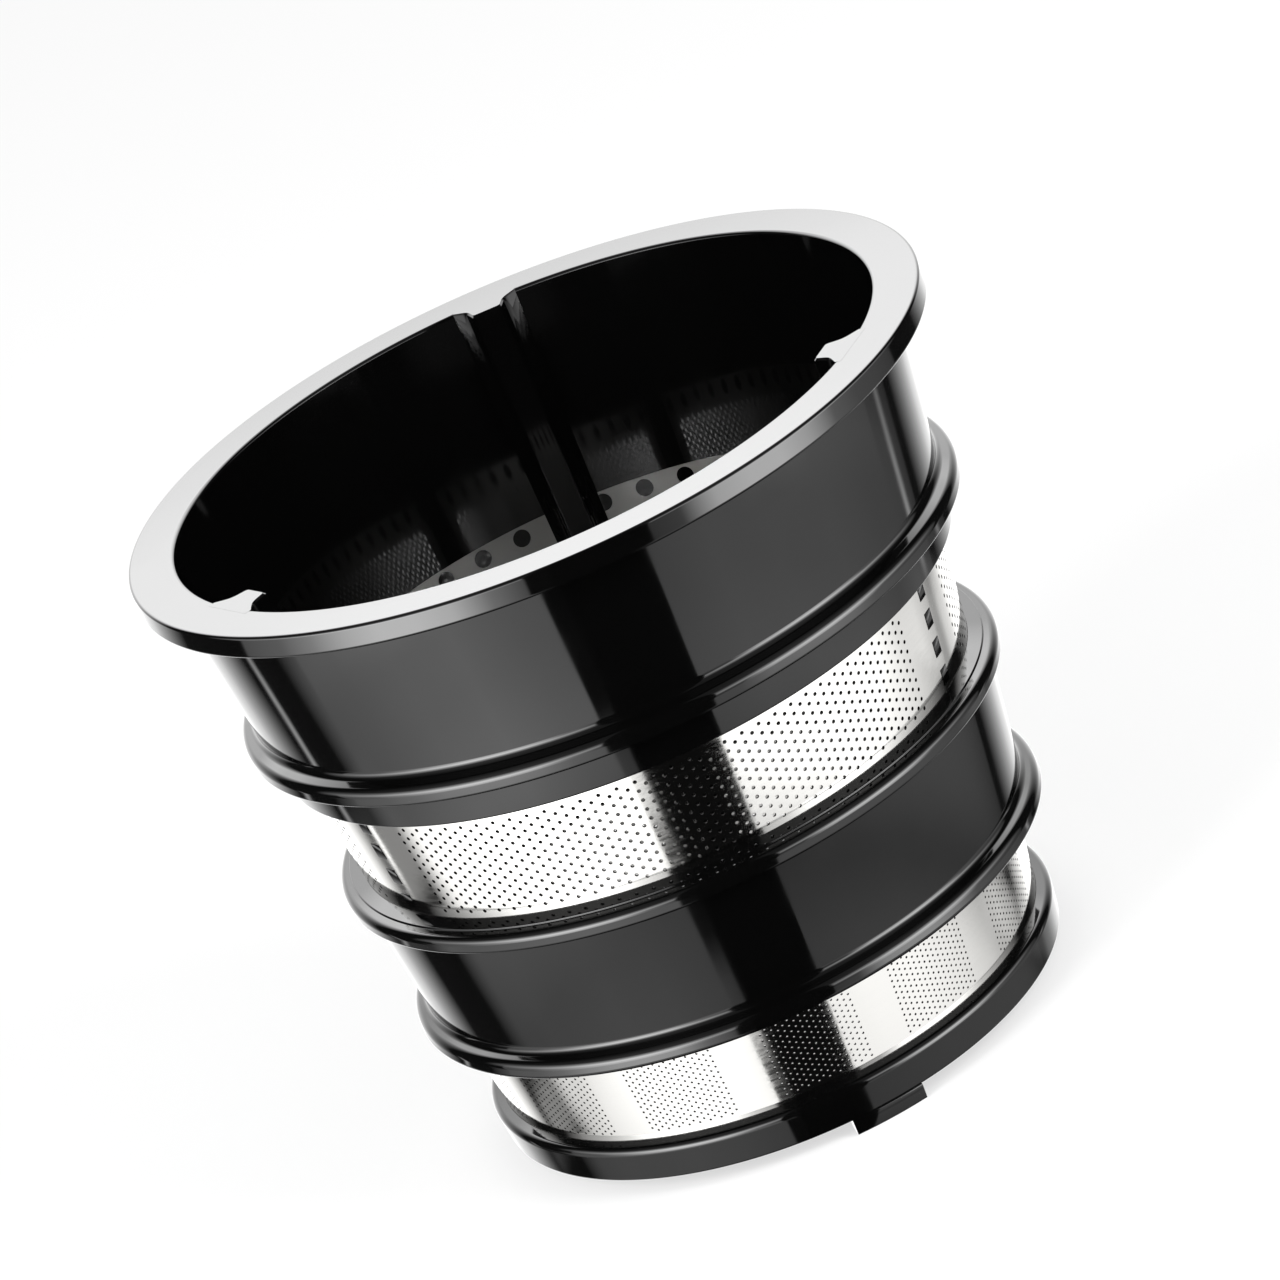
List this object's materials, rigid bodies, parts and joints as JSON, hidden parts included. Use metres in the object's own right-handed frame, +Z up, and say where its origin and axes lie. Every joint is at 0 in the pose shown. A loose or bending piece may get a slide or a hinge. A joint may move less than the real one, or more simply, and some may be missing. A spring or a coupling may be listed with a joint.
{
  "type": "juicer mesh screen",
  "caption": "Tapered juicer strainer basket: a glossy black moulded frame with a wide flange and ring ledges, closed by perforated steel bands that let juice out.",
  "frame": {"origin": "on the basket's axis, in the plane of the feet that it stands on", "axes": "+Z up along the axis towards the wide mouth, the back rib on the +Y side, +X to the right of a viewer who looks along +Y"},
  "size_m": [0.1108, 0.1108, 0.0953],
  "materials": {
    "black_plastic": "glossy moulded, near black",
    "upper_steel": "bright perforated stainless sheet",
    "lower_steel": "bright finely perforated stainless sheet"
  },
  "bodies": {
    "root": {"frame": "black_plastic", "upper_screen": "upper_steel", "lower_screen": "lower_steel"}
  },
  "joints": []
}
